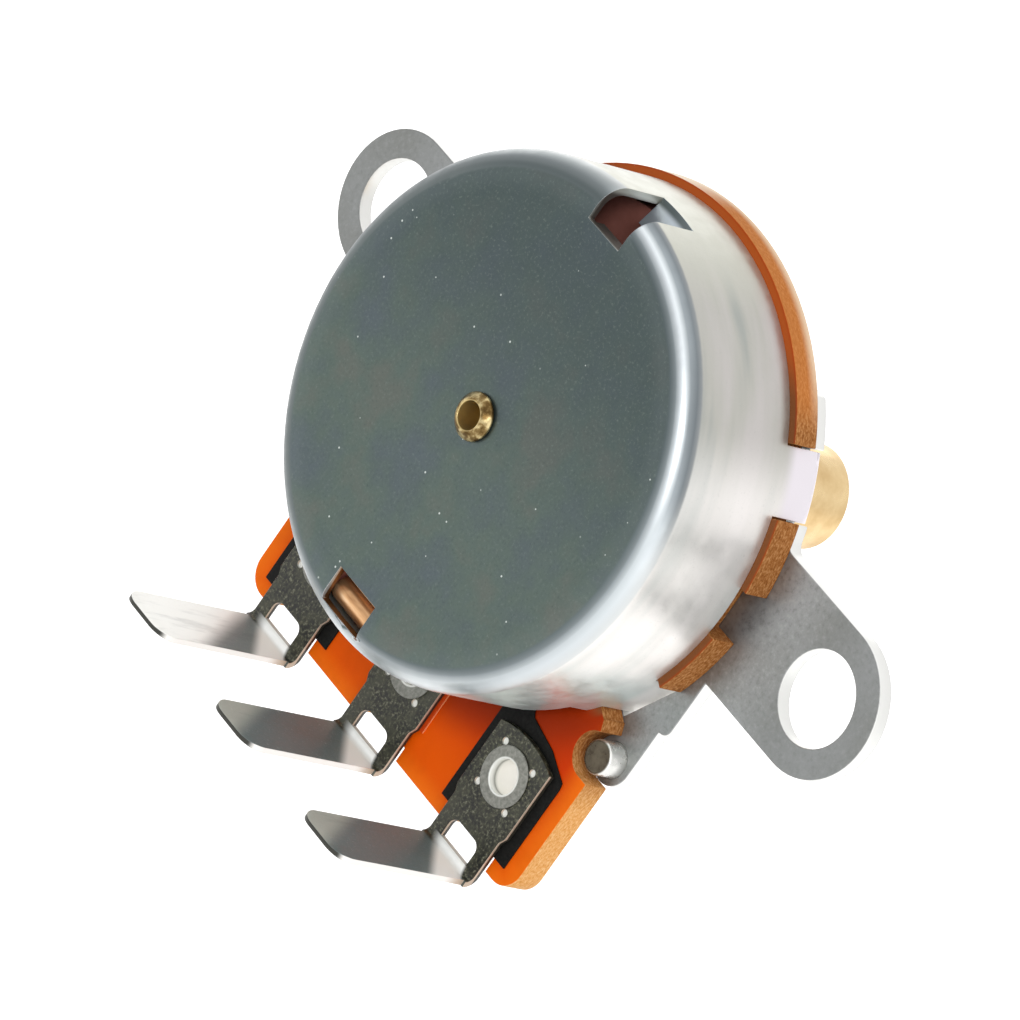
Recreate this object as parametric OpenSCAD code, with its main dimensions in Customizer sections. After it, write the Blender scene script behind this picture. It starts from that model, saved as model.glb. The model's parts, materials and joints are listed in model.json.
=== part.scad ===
// Rotary heater control: a carbon track potentiometer in a drawn steel can.
// Millimetres. The shaft lies along Y and points to -Y, the can's closed back faces +Y,
// the mounting ears lie along X and the terminals hang down at -Z. The origin is on the
// shaft axis at the front face of the mounting plate.

/* [Can] */
// Outside diameter of the drawn can
can_d = 23.8; // [23:0.1:25]
// Height of the can from the board to its closed back
can_h = 6.75; // [6.5:0.05:9]
// Sheet thickness of the can
can_sheet = 0.4; // [0.3:0.05:0.5]
// Outer radius of the drawn corner
can_corner_r = 1.2; // [0.8:0.05:1.4]
// Height of the gap under the rim, where the terminals pass
rim_gap = 1.05; // [0.95:0.05:1.3]
// Half angle of that gap, about the terminal side
rim_gap_angle = 48; // [44:1:50]

/* [Can tabs] */
// Angle of the tabs above and below the line of the ears
tab_angle = 30; // [28:1:32]
// Width of a tab
tab_w = 3.1; // [2.4:0.1:3.2]
// Reach of a folded tab over the plate, from the can's outside
tab_reach = 2.1; // [1.5:0.1:3]
// Outer radius of the fold in a tab
tab_fold_r = 0.7; // [0.65:0.05:0.9]

/* [Can windows] */
// Width of the window at the stop tongue
stop_window_w = 2.4; // [2:0.1:3]
// Distance of that window's inner edge from the can's outside
stop_window_in = 1.9; // [1.6:0.1:2.4]
// Depth of the lip turned in at that edge
stop_window_lip = 0.5; // [0.3:0.1:0.6]
// Distance of the tongue's root from the can's back
tongue_root = 3.4; // [3:0.1:3.6]
// Distance that the tongue stands in from the can's outside
tongue_l = 1.5; // [1:0.1:1.7]
// Distance that its tip leans towards the can's back
tongue_lean = 0.5; // [0.4:0.05:0.8]
// Width of the window at the spring
spring_window_w = 2.9; // [2.6:0.1:3]
// Length of that window towards the shaft
spring_window_l = 1.7; // [1.5:0.1:1.9]
// Distance of its outer edge from the can's outside
spring_window_edge = 0.75; // [0.7:0.05:1]

/* [Mounting plate] */
// Thickness of the plate
plate_t = 0.8; // [0.6:0.1:1.2]
// Distance that the plate stands out past the can
plate_rim = 0.2; // [0.15:0.05:0.6]
// Height of the straight top edge above the shaft axis
plate_top = 9.1; // [8.8:0.1:10]
// Distance between the two ear holes
ear_spacing = 35; // [34:0.5:40]
// Width of an ear
ear_w = 7; // [6.5:0.1:7.6]
// Diameter of an ear hole
ear_hole_d = 4.3; // [3.5:0.1:4.6]
// Radius of the fillet between an ear and the plate
ear_fillet_r = 0.6; // [0.3:0.1:1.5]
// Width across the shoulders of the legs
shoulder_w = 24.4; // [24:0.1:25]
// Depth of the shoulders below the shaft axis
shoulder_drop = 6.65; // [6.4:0.05:7]
// Depth of the plate's bottom edge between the legs
plate_bottom = 8.6; // [8.4:0.1:9]

/* [Locating pins] */
// Distance between the two locating pins
pin_spacing = 21; // [20.6:0.1:21.4]
// Depth of the pins below the shaft axis
pin_drop = 9.15; // [9:0.05:9.4]
// Diameter of a locating pin
pin_d = 1.6; // [1.2:0.1:1.8]
// Height of a pin above the plate
pin_h = 1.05; // [0.8:0.05:1.3]
// Radius of a leg's end around its pin
leg_r = 1.15; // [1.05:0.05:1.25]

/* [Board] */
// Thickness of the board
board_t = 1.4; // [1.2:0.1:2]
// Distance that the board stands out past the can
board_rim = 0.4; // [0.3:0.05:0.6]
// Width of the board's tail
tail_w = 22.3; // [22:0.1:22.6]
// Depth of the tail's bottom edge below the shaft axis
tail_drop = 16.6; // [16.4:0.1:17]
// Radius of the tail's bottom corners
tail_corner_r = 1.2; // [0.6:0.1:2]
// Width of the notches behind the necks of the terminals
terminal_notch_w = 3.6; // [2.8:0.1:3.6]
// Depth of those notches from the tail's bottom edge
terminal_notch_h = 0.75; // [0.4:0.05:0.75]
// Width of the notches on the line of the ears
ear_notch_w = 2.5; // [1.5:0.1:3]
// Clearance around a tab in the board and the plate
tab_clear = 0.1; // [0.05:0.05:0.15]
// Clearance around a locating pin in the board
pin_clear = 0.3; // [0.2:0.05:0.4]

/* [Tracks] */
// Thickness of the printed tracks
track_t = 0.08; // [0.05:0.01:0.15]
// Distance from the can's wall to the resistive track
track_edge = 1; // [0.8:0.1:1.4]
// Distance between the two tracks
track_apart = 0.9; // [0.6:0.1:1.4]
// Half angle of the gap between the ends of the resistive track
track_gap_angle = 34; // [31:1:36]
// Mean radius of the collector track
collector_r = 6.6; // [6.4:0.1:6.8]
// Width of the collector track
collector_w = 1.4; // [1:0.1:1.6]
// Margin of a pad around the lug of its terminal
pad_margin = 0.6; // [0.4:0.05:0.9]
// Depth of the pads' bottom edge below the shaft axis
pad_drop = 15.8; // [15.5:0.1:16]

/* [Terminals] */
// Distance from one terminal to the next
terminal_pitch = 7.6; // [7.4:0.1:7.8]
// Sheet thickness of a terminal
terminal_t = 0.3; // [0.25:0.05:0.4]
// Width of the lug under the eyelet
lug_w = 4; // [3.9:0.1:4.4]
// Height of the lug's arched top above its corners
lug_arch = 0.38; // [0.2:0.02:0.6]
// Distance from the eyelet to the corners of the lug's top
lug_above = 1.65; // [1.6:0.05:1.8]
// Distance from the eyelet to the shoulder under the lug
lug_below = 1.9; // [1.8:0.05:2.1]
// Width of the neck from the shoulder to the bend
neck_w = 3.64; // [3.5:0.02:3.8]
// Width of the blade
blade_w = 3.36; // [2.8:0.02:3.4]
// Length of the blade from the face of the lug to its tip
blade_l = 8.3; // [6:0.1:12]
// Depth of the blade's upper face below the shaft axis
blade_drop = 17.3; // [17.2:0.1:18.5]
// Inner radius of the bend
bend_r = 0.3; // [0.2:0.05:0.5]
// Width of the wire hole over the bend
wire_hole_w = 2.1; // [1.4:0.1:2.3]
// Height of the wire hole
wire_hole_h = 1.1; // [0.9:0.05:1.1]
// Depth of the eyelets below the shaft axis
eyelet_drop = 12.8; // [12.6:0.1:13]
// Bore diameter of an eyelet
eyelet_bore = 1.6; // [1.3:0.1:1.8]
// Diameter of an eyelet's shank
eyelet_d = 2.3; // [2.2:0.05:2.4]
// Diameter of the eyelets' rolled flange on the lug
flange_d = 2.8; // [2.6:0.1:2.8]
// Thickness of the eyelets' flanges
flange_t = 0.1; // [0.1:0.05:0.3]

/* [Shaft and bushing] */
// Diameter of the shaft
shaft_d = 4.8; // [4.4:0.1:5.2]
// Length of the shaft in front of the plate
shaft_l = 13.5; // [12.5:0.5:20]
// Running clearance between the shaft and its bearings, on the radius
running_clear = 0.03; // [0.02:0.01:0.06]
// Outside diameter of the bushing's barrel
bushing_d = 7; // [6.8:0.1:8]
// Length of the bushing in front of the plate
bushing_l = 7.5; // [5:0.1:7.5]
// Diameter of the bushing's seat in the plate
bushing_seat_d = 6.4; // [6.2:0.1:6.6]
// Diameter of the rear end of the shaft in the can's back
journal_d = 1.8; // [1.6:0.1:2]
// Diameter of the flared rim on the shaft's rear end
flare_d = 2.2; // [2.1:0.05:2.4]
// Diameter of the hole in the shaft's rear end
rear_hole_d = 1.3; // [1:0.05:1.3]

/* [Rotor] */
// Clearance between the rotor disc and the can's wall
rotor_gap = 0.5; // [0.4:0.05:0.7]
// Thickness of the rotor disc
rotor_t = 1.4; // [1.2:0.1:1.6]
// Clear height between the board's tracks and the rotor disc
rotor_lift = 1.42; // [1.4:0.02:1.5]
// Diameter of the rotor's hub
hub_d = 7.2; // [7:0.1:7.4]
// Half angle of the stop horns about the spring
horn_angle = 22; // [20:0.5:22.5]
// Sheet thickness of the wiper spring
spring_t = 0.22; // [0.18:0.01:0.25]
// Width of the spring's folded arm
fold_w = 3.1; // [2.8:0.1:3.2]
// Outer radius of the fold
fold_r = 0.6; // [0.4:0.05:0.6]
// Axial clearance between a turning piece and a fixed one
axial_clear = 0.05; // [0.04:0.01:0.08]

/* [Hidden] */
$fn = 96;

// Overshoot of a cut past the face it opens
over = 1;

// Stations along the shaft axis, from the plate's front face at 0
board_front = plate_t;
board_back = board_front + board_t;
lug_front = board_back + track_t;
lug_back = lug_front + terminal_t;
can_back = board_back + can_h;
can_inside = can_back - can_sheet;

// Can
can_r = can_d / 2;
can_in_r = can_r - can_sheet;
tab_fold_in_r = tab_fold_r - can_sheet;
tab_angles = [tab_angle, 180 - tab_angle, 180 + tab_angle, 360 - tab_angle];
tongue_side_gap = 0.05;
down = -90;

// Plate and board
plate_r = can_r + plate_rim;
plate_notch_in_r = can_in_r - tab_fold_in_r;
board_r = can_r + board_rim;
ear_x = ear_spacing / 2;
pin_x = pin_spacing / 2;
pin_r = pin_d / 2;
pin_front_edge_r = 0.1;
pin_back_edge_r = 0.15;
shoulder_r = 0.5;
tail_side = tail_w / 2;
tail_slope = [[9.7, -7.15], [10.2, -8.2]];
notch_over = 0.05;
ear_notch_under = 0.5;
ear_notch_in = can_in_r - ear_notch_under;

// Tracks
track_out_r = can_in_r - track_edge;
track_in_r = collector_r + collector_w / 2 + track_apart;
track_r = (track_out_r + track_in_r) / 2;
pad_rise = 0.1;
pad_neck = [0.8, 2.75];
pad_neck_step = [0.4, 0.5];
pad_overlap_angle = 5;
pad_corner = 0.3;
pad_bulge = 0.15;
lip_w = stop_window_w - can_sheet;
strip_margin = 0.2;

// Terminals
terminal_xs = [terminal_pitch, 0, -terminal_pitch];
shoulder_step = 0.35;
tip_corner_r = 1;
tip_bevel_l = 0.6;
tip_t = 0.2;
wire_hole_top = 1.45;
wire_hole_corner_r = 0.45;
stake_d = 0.34;
stake_side = 1.12;
stake_depth = 0.08;

// Stack of pieces on the shaft, inside the can
washer_t = 0.3;
stake_h = 0.4;
bushing_back = board_front + stake_h;
thrust_front = bushing_back + axial_clear;
collar_front = thrust_front + washer_t;
collar_t = 1.05;
hub_front = collar_front + collar_t;
hub_gap = 1.05;
hub_back = can_inside - hub_gap;
disc_front = lug_front + rotor_lift;
disc_back = disc_front + rotor_t;
horn_gap = 0.3;
horn_back = can_inside - horn_gap;
board_hole_r = 4.2;
bushing_stake_r = 3.8;
bushing_flange_r = 4.5;
bushing_flange_t = 1;

// Shaft
shaft_r = shaft_d / 2;
journal_r = journal_d / 2;
drive_r = 2;
drive_flat = 1.4;
collar_r = 3.2;
end_chamfer = 0.3;
flare_front = can_back + axial_clear;
flare_edge = 0.32;
flare_t = 0.45;
ring_t = 0.4;
ring_gap = 2.4;
ring_groove = 0.4;
ring_overhang = 0.7;
ring_seat_r = shaft_r - ring_groove;
ring_r = shaft_r + ring_overhang;
front_washer_step = 0.1;
front_washer_r = bushing_d / 2 - front_washer_step;
front_washer_back = -bushing_l - axial_clear;
ring_back = front_washer_back - washer_t - axial_clear;

// Rotor and wiper
rotor_r = can_in_r - rotor_gap;
hub_r = hub_d / 2;
horn_w = 2.5;
horn_in_r = rotor_r - horn_w;
arm_front = disc_front - spring_t;
contact_h = 0.4;
contact_tip = lug_front + axial_clear;
finger_front = contact_tip + contact_h;
finger_back = finger_front + spring_t;
finger_w = 1.4;
finger_half_l = 0.6;
finger_slope_l = 0.35;
spring_ring_gap = 0.3;
spring_ring_w = 1.6;
spring_ring_in = hub_r + spring_ring_gap;
spring_ring_out = spring_ring_in + spring_ring_w;
fold_over = 0.1;
fold_out = rotor_r + fold_over;
fold_crest_gap = 0.1;
fold_crest = can_inside - fold_crest_gap;
fold_in_r = fold_r - spring_t;
fold_gap = 0.15;
fold_depth = 1;
fold_end_drop = 0.1;
fold_end_r = fold_out - 2 * fold_r - fold_gap - spring_t;
pocket_side_gap = 0.2;
pocket_end_gap = 0.15;
pocket_w = fold_w + 2 * pocket_side_gap;
pocket_in_r = fold_end_r - pocket_end_gap;
collector_angles = [45, 135];
wiper_angle = 90;
rivet_r = 0.4;
rivet_head_r = 0.65;
rivet_head_t = 0.25;
rivet_pitch_r = (spring_ring_in + spring_ring_out) / 2;
rivet_angles = [wiper_angle, wiper_angle + 120, wiper_angle + 240];
spring_washer_t = 0.25;
spring_washer_gap = 0.3;
spring_washer_step = 0.2;
spring_washer_in_r = journal_r + spring_washer_gap;
spring_washer_out_r = hub_r - spring_washer_step;

// Turns a half section, drawn as radius and station, about the shaft axis
module turned() {
    rotate([-90, 0, 0]) rotate_extrude() children();
}

// Extrudes an outline in the X-Z plane from one station to another
module slab(front, back) {
    translate([0, back, 0]) rotate([90, 0, 0]) linear_extrude(back - front) children();
}

// Extrudes an outline in the Y-Z plane across X, centred
module across(w) {
    rotate([90, 0, 90]) linear_extrude(w, center = true) children();
}

// Turns what is drawn towards +Z to an angle in the X-Z plane
module at_angle(a) {
    rotate([0, 90 - a, 0]) children();
}

// Rectangle centred on x = 0
module band(w, low, high) {
    translate([-w / 2, low]) square([w, high - low]);
}

// Pie sector of half angle h about the direction a
module sector(a, h, r) {
    polygon([[0, 0], for (t = [-h:h / 4:h]) 2 * r * [cos(a + t), sin(a + t)]]);
}

module ring_outline(r_out, r_in) {
    difference() {
        circle(r_out);
        circle(r_in);
    }
}

// Half section of a drum with a rounded front and back corner
module drum_section(r, front, back, front_r, back_r) {
    translate([0, front + front_r]) square([r, back - back_r - front - front_r]);
    translate([0, front]) square([r - front_r, back - back_r - front]);
    translate([0, front + front_r]) square([r - back_r, back - front - front_r]);
    translate([r - front_r, front + front_r]) circle(front_r);
    translate([r - back_r, back - back_r]) circle(back_r);
}

// Outline of the openings that the tabs pass through, from radius r_in to r_out
module tab_openings(angles, r_in, r_out, clear) {
    opening_w = tab_w + 2 * clear;
    for (a = angles) rotate(a) translate([r_in, -opening_w / 2]) square([r_out - r_in, opening_w]);
}

module can() {
    color([0.62, 0.66, 0.66]) {
        difference() {
            turned() drum_section(can_r, -can_sheet, can_back, tab_fold_r, can_corner_r);
            turned() drum_section(can_in_r, 0, can_inside, tab_fold_in_r, can_corner_r - can_sheet);
            // Below the rim only the tabs are left
            slab(-can_sheet - over, board_back) difference() {
                circle(can_r + over);
                tab_openings(tab_angles, can_r - tab_reach, can_r + 2 * over, 0);
            }
            slab(-can_sheet - over, board_back + rim_gap) sector(down, rim_gap_angle, can_r);
            // Stop window, through the corner and down the wall to the tongue's root
            slab(can_back - tongue_root, can_back + over)
                band(stop_window_w, can_r - stop_window_in, can_r + over);
            slab(can_inside - over / 2, can_back + over)
                translate([0, spring_window_edge - can_r]) band(spring_window_w, 0, spring_window_l);
            slab(can_inside - over, can_back + over) circle(journal_r + running_clear);
        }
        stop_tongue();
        // Lip at the stop window's inner edge
        slab(can_inside - stop_window_lip, can_back - can_sheet / 2)
            translate([0, can_r - stop_window_in]) band(lip_w, -can_sheet, 0);
    }
}

// Tongue cut from the wall and folded inward, which stops the rotor's horns
module stop_tongue() {
    root = can_back - tongue_root;
    tip = root + tongue_lean;
    tip_r = can_r - tongue_l;
    seat = root - can_sheet;
    intersection() {
        across(stop_window_w - 2 * tongue_side_gap) polygon([
            [seat, can_r], [root, can_r], [tip, tip_r], [tip - can_sheet, tip_r], [seat, can_in_r]
        ]);
        turned() square([can_r, can_back]);
    }
}

// Fillet between the edge of a disc and a straight edge that leaves it along x
module root_fillet(disc_r, edge, r) {
    centre = [sqrt(pow(disc_r + r, 2) - pow(edge + r, 2)), edge + r];
    tangent = centre * disc_r / (disc_r + r);
    difference() {
        polygon([
            [tangent.x - over, tangent.y], [tangent.x - over, edge - over],
            [centre.x, edge - over], centre, tangent
        ]);
        translate(centre) circle(r);
    }
}

// One side of the plate, towards +X
module plate_side() {
    translate([0, -ear_w / 2]) square([ear_x, ear_w]);
    translate([ear_x, 0]) circle(ear_w / 2);
    root_fillet(plate_r, ear_w / 2, ear_fillet_r);
    mirror([0, 1]) root_fillet(plate_r, ear_w / 2, ear_fillet_r);
    // Shoulder with a rounded corner
    translate([0, -shoulder_drop + shoulder_r]) square([shoulder_w / 2, shoulder_drop - shoulder_r]);
    translate([0, -shoulder_drop]) square([shoulder_w / 2 - shoulder_r, shoulder_drop]);
    translate([shoulder_w / 2 - shoulder_r, -shoulder_drop + shoulder_r]) circle(shoulder_r);
    // Leg with a round end about its pin
    translate([pin_x - leg_r, -pin_drop]) square([2 * leg_r, pin_drop]);
    translate([pin_x, -pin_drop]) circle(leg_r);
}

module mounting_plate() {
    color([0.66, 0.67, 0.67]) slab(0, plate_t) difference() {
        union() {
            intersection() {
                circle(plate_r);
                band(2 * plate_r, -plate_bottom, plate_top);
            }
            // Straight bottom edge from leg to leg
            band(2 * pin_x, -plate_bottom, 0);
            plate_side();
            mirror([1, 0]) plate_side();
        }
        circle(d = bushing_seat_d);
        for (s = [-1, 1]) translate([s * ear_x, 0]) circle(d = ear_hole_d);
        for (s = [-1, 1]) translate([s * pin_x, -pin_drop]) circle(pin_r);
        // Open notches above the ears, closed slots in the legs
        tab_openings([tab_angles[0], tab_angles[1]], plate_notch_in_r, plate_r + over, tab_clear);
        tab_openings([tab_angles[2], tab_angles[3]], plate_notch_in_r, can_r + tab_clear, tab_clear);
    }
}

module board_layer() {
    slab(board_front, board_back) children();
}

module board_blank() {
    board_layer() circle(board_r);
    board_layer() band(tail_w, -tail_drop + tail_corner_r, -pin_drop);
    board_layer() band(tail_w - 2 * tail_corner_r, -tail_drop, -pin_drop);
    board_layer() polygon([
        [-tail_slope[1].x, -pin_drop - over], [-tail_slope[1].x, tail_slope[1].y],
        [-tail_slope[0].x, tail_slope[0].y], [0, 0], tail_slope[0], tail_slope[1],
        [tail_slope[1].x, -pin_drop - over]
    ]);
    for (s = [-1, 1]) board_layer()
        translate([s * (tail_side - tail_corner_r), -tail_drop + tail_corner_r]) circle(tail_corner_r);
}

// Round notch about a pin, open to the side s
module pin_notch(s) {
    notch_r = pin_r + pin_clear;
    circle(notch_r);
    translate([s * board_r / 2, 0]) square([board_r, 2 * notch_r], center = true);
}

module base_board() {
    color([0.85, 0.35, 0.05]) difference() {
        board_blank();
        slab(board_front - over, board_back + over) {
            circle(board_hole_r);
            tab_openings(tab_angles, can_in_r - tab_clear, board_r + notch_over, tab_clear);
            for (s = [-1, 1]) translate([s * pin_x, -pin_drop]) pin_notch(s);
            for (s = [0, 180]) rotate(s)
                translate([ear_notch_in, -ear_notch_w / 2]) square([board_r, ear_notch_w]);
            for (x = terminal_xs) {
                translate([x, -eyelet_drop]) circle(d = eyelet_d);
                translate([x, -tail_drop])
                    square([terminal_notch_w, 2 * terminal_notch_h], center = true);
            }
        }
    }
}

// Pad under the outer terminal on the side s, with its neck to the horseshoe track
module track_pad(s) {
    inner = terminal_pitch - lug_w / 2 - pad_margin;
    outer = terminal_pitch + lug_w / 2 + pad_margin;
    corner = [outer, lug_above + pad_rise - eyelet_drop];
    neck = [terminal_pitch - pad_neck.x, pad_neck.y - eyelet_drop];
    end = down + track_gap_angle + pad_overlap_angle;
    scale([s, 1]) polygon([
        [inner, -pad_drop], [outer, -pad_drop], corner - [0, pad_corner],
        corner - [pad_corner / 4, 0], (corner + neck) / 2 + [pad_bulge, pad_bulge],
        neck, [neck.x - pad_neck_step.x, neck.y + pad_neck_step.y],
        (track_out_r + track_r) / 2 * [cos(end), sin(end)],
        (track_in_r + track_r) / 2 * [cos(end), sin(end)], [inner, -track_r]
    ]);
}

module resistive_track() {
    color([0.06, 0.06, 0.06]) difference() {
        union() {
            difference() {
                slab(board_back, lug_front) ring_outline(track_out_r, track_in_r);
                slab(board_back - over, lug_front + over) sector(down, track_gap_angle, can_r);
            }
            slab(board_back, lug_front) track_pad(1);
            slab(board_back, lug_front) track_pad(-1);
        }
        slab(board_back - over, lug_front + over)
            for (x = [-terminal_pitch, terminal_pitch]) translate([x, -eyelet_drop]) circle(d = eyelet_d);
    }
}

module collector_track() {
    color([0.6, 0.58, 0.52]) slab(board_back, lug_front) difference() {
        union() {
            ring_outline(collector_r + collector_w / 2, collector_r - collector_w / 2);
            band(lug_w + 2 * strip_margin, -eyelet_drop - lug_below, -collector_r);
        }
        translate([0, -eyelet_drop]) circle(d = eyelet_d);
    }
}

// Outline of the lug and its neck, with the eyelet's centre at the origin
module lug_outline() {
    arch_r = (pow(lug_w / 2, 2) + pow(lug_arch, 2)) / (2 * lug_arch);
    neck_end = eyelet_drop - blade_drop + bend_r;
    intersection() {
        band(lug_w, -lug_below, lug_above + lug_arch);
        translate([0, lug_above + lug_arch - arch_r]) circle(arch_r);
    }
    polygon([
        [-lug_w / 2, -lug_below], [-neck_w / 2, -lug_below - shoulder_step], [-neck_w / 2, neck_end],
        [neck_w / 2, neck_end], [neck_w / 2, -lug_below - shoulder_step], [lug_w / 2, -lug_below]
    ]);
}

// Blade outline in plan, from the bend to its rounded tip
module blade_outline(tip) {
    translate([-blade_w / 2, lug_back]) square([blade_w, tip - tip_corner_r - lug_back]);
    translate([tip_corner_r - blade_w / 2, lug_back]) square([blade_w - 2 * tip_corner_r, tip - lug_back]);
    for (s = [-1, 1])
        translate([s * (blade_w / 2 - tip_corner_r), tip - tip_corner_r]) circle(tip_corner_r);
}

module blade() {
    tip = lug_back + blade_l;
    low = -blade_drop - terminal_t;
    bevel = (terminal_t - tip_t) / 2;
    intersection() {
        translate([0, 0, low]) linear_extrude(terminal_t) blade_outline(tip);
        across(blade_w) polygon([
            [lug_back + bend_r, low], [tip - tip_bevel_l, low], [tip, low + bevel],
            [tip, -blade_drop - bevel], [tip - tip_bevel_l, -blade_drop], [lug_back + bend_r, -blade_drop]
        ]);
    }
}

// Quarter ring from the lug to the blade
module bend() {
    out_r = bend_r + terminal_t;
    translate([0, lug_back + bend_r, -blade_drop + bend_r]) across(neck_w) intersection() {
        ring_outline(out_r, bend_r);
        translate([-out_r, -out_r]) square(out_r);
    }
}

// Outline of the wire hole, with round top corners
module wire_hole_outline() {
    top = -blade_drop + wire_hole_top;
    bottom = top - wire_hole_h;
    side = wire_hole_w / 2 - wire_hole_corner_r;
    band(wire_hole_w, bottom, top - wire_hole_corner_r);
    band(2 * side, bottom, top);
    for (s = [-1, 1]) translate([s * side, top - wire_hole_corner_r]) circle(wire_hole_corner_r);
}

// Terminal at x = 0
module terminal() {
    difference() {
        union() {
            slab(lug_front, lug_back) translate([0, -eyelet_drop]) lug_outline();
            bend();
            blade();
        }
        slab(lug_front - over, lug_back + over) translate([0, -eyelet_drop]) circle(d = eyelet_d);
        slab(lug_front - over, lug_back + over) wire_hole_outline();
        // Stake marks around the eyelet
        for (x = [-1, 1], z = [-1, 1])
            slab(lug_back - stake_depth, lug_back + over)
                translate([x * stake_side, z * stake_side - eyelet_drop]) circle(d = stake_d);
    }
}

module terminal_left() {
    color([0.45, 0.44, 0.4]) translate([terminal_xs[0], 0, 0]) terminal();
}

module terminal_middle() {
    color([0.45, 0.44, 0.4]) translate([terminal_xs[1], 0, 0]) terminal();
}

module terminal_right() {
    color([0.45, 0.44, 0.4]) translate([terminal_xs[2], 0, 0]) terminal();
}

// Tubular rivet through the board and a lug, with a flange at each end
module eyelet() {
    turned() difference() {
        union() {
            translate([0, board_front]) square([eyelet_d / 2, lug_back - board_front]);
            translate([0, board_front - flange_t]) square([flange_d / 2, flange_t]);
            translate([0, lug_back]) square([flange_d / 2, flange_t]);
        }
        translate([0, board_front - flange_t - over])
            square([eyelet_bore / 2, lug_back + 2 * flange_t + 2 * over]);
    }
}

module terminal_eyelets() {
    color([0.6, 0.6, 0.58]) for (x = terminal_xs) translate([x, 0, -eyelet_drop]) eyelet();
}

module locating_pins() {
    color([0.5, 0.5, 0.48]) for (s = [-1, 1]) translate([s * pin_x, 0, -pin_drop])
        turned() drum_section(pin_r, 0, plate_t + pin_h, pin_front_edge_r, pin_back_edge_r);
}

module bushing() {
    bore_r = shaft_r + running_clear;
    color([0.8, 0.65, 0.35]) turned() difference() {
        union() {
            translate([0, -bushing_l]) square([bushing_d / 2, bushing_l]);
            translate([0, -bushing_flange_t]) square([bushing_flange_r, bushing_flange_t]);
            square([bushing_seat_d / 2, bushing_back]);
            translate([0, board_front]) square([bushing_stake_r, stake_h]);
        }
        translate([0, -bushing_l - over]) square([bore_r, bushing_l + bushing_back + 2 * over]);
    }
}

module shaft_section() {
    front = -shaft_l;
    polygon([
        [0, front], [shaft_r - end_chamfer, front], [shaft_r, front + end_chamfer],
        [shaft_r, ring_back - ring_t - axial_clear], [ring_seat_r, ring_back - ring_t - axial_clear],
        [ring_seat_r, ring_back + axial_clear], [shaft_r, ring_back + axial_clear],
        [shaft_r, collar_front], [collar_r, collar_front], [collar_r, hub_front],
        [drive_r, hub_front], [drive_r, hub_back], [journal_r, hub_back],
        [journal_r, flare_front], [flare_d / 2, flare_front],
        [flare_d / 2, flare_front + flare_t - flare_edge],
        [flare_d / 2 - flare_edge, flare_front + flare_t], [0, flare_front + flare_t]
    ]);
}

module shaft() {
    color([0.85, 0.68, 0.4]) difference() {
        turned() shaft_section();
        // Two flats that drive the rotor
        slab(hub_front, hub_back) for (s = [-1, 1])
            translate([s * (drive_flat + shaft_r / 2), 0]) square([shaft_r, 2 * shaft_d], center = true);
        slab(can_inside - over, can_back + over) circle(d = rear_hole_d);
    }
}

module retaining_ring() {
    color([0.45, 0.45, 0.45]) slab(ring_back - ring_t, ring_back) difference() {
        ring_outline(ring_r, ring_seat_r);
        band(ring_gap, -2 * ring_r, 0);
    }
}

module front_washer() {
    color([0.6, 0.6, 0.6]) slab(front_washer_back - washer_t, front_washer_back)
        ring_outline(front_washer_r, shaft_r + running_clear);
}

module thrust_washer() {
    color([0.6, 0.6, 0.6]) slab(thrust_front, collar_front)
        ring_outline(bushing_stake_r, shaft_r + running_clear);
}

module rotor() {
    color([0.38, 0.24, 0.21]) difference() {
        union() {
            turned() translate([0, disc_front]) square([rotor_r, rotor_t]);
            turned() translate([0, hub_front]) square([hub_r, hub_back - hub_front]);
            slab(disc_back - rotor_t / 2, horn_back) intersection() {
                ring_outline(rotor_r, horn_in_r);
                sector(down, horn_angle, rotor_r);
            }
        }
        // Double-D bore on the shaft
        slab(hub_front - over, hub_back + over) intersection() {
            circle(drive_r);
            square([2 * drive_flat, 2 * shaft_d], center = true);
        }
        // Pocket for the folded arm of the spring
        slab(disc_front - over, horn_back + over) band(pocket_w, -rotor_r - over, -pocket_in_r);
        for (a = rivet_angles) at_angle(a) slab(disc_front - over, disc_back + over)
            translate([0, rivet_pitch_r]) circle(rivet_r);
    }
}

// Finger from the spring's ring down to a contact at radius r, drawn towards +Z
module finger(r) {
    end = r + finger_half_l;
    foot = r - finger_half_l;
    root = min(spring_ring_out, foot - finger_slope_l);
    across(finger_w) polygon([
        [arm_front, rivet_pitch_r], [disc_front, rivet_pitch_r], [disc_front, root],
        [finger_back, foot], [finger_back, end], [finger_front, end],
        [finger_front, foot], [arm_front, root]
    ]);
}

// Section of the folded arm: out under the rotor, up, over the crest, down and up again
module fold_section() {
    crest_y = fold_crest - fold_r;
    crest_z = fold_out - fold_r;
    inner_z = crest_z - fold_r;
    base_y = crest_y - fold_depth;
    translate([arm_front, -fold_out]) square([spring_t, fold_out - rivet_pitch_r]);
    translate([arm_front, -fold_out]) square([crest_y - arm_front, spring_t]);
    // Crest
    translate([crest_y, -crest_z]) intersection() {
        ring_outline(fold_r, fold_in_r);
        translate([0, -fold_r]) square([fold_r, 2 * fold_r]);
    }
    translate([base_y, -inner_z - spring_t]) square([crest_y - base_y, spring_t]);
    // Return bend
    translate([base_y, -inner_z + fold_gap / 2]) intersection() {
        ring_outline(fold_gap / 2 + spring_t, fold_gap / 2);
        translate([-over, -over]) square([over, 2 * over]);
    }
    translate([base_y, -fold_end_r - spring_t]) square([fold_crest - fold_end_drop - base_y, spring_t]);
}

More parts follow.
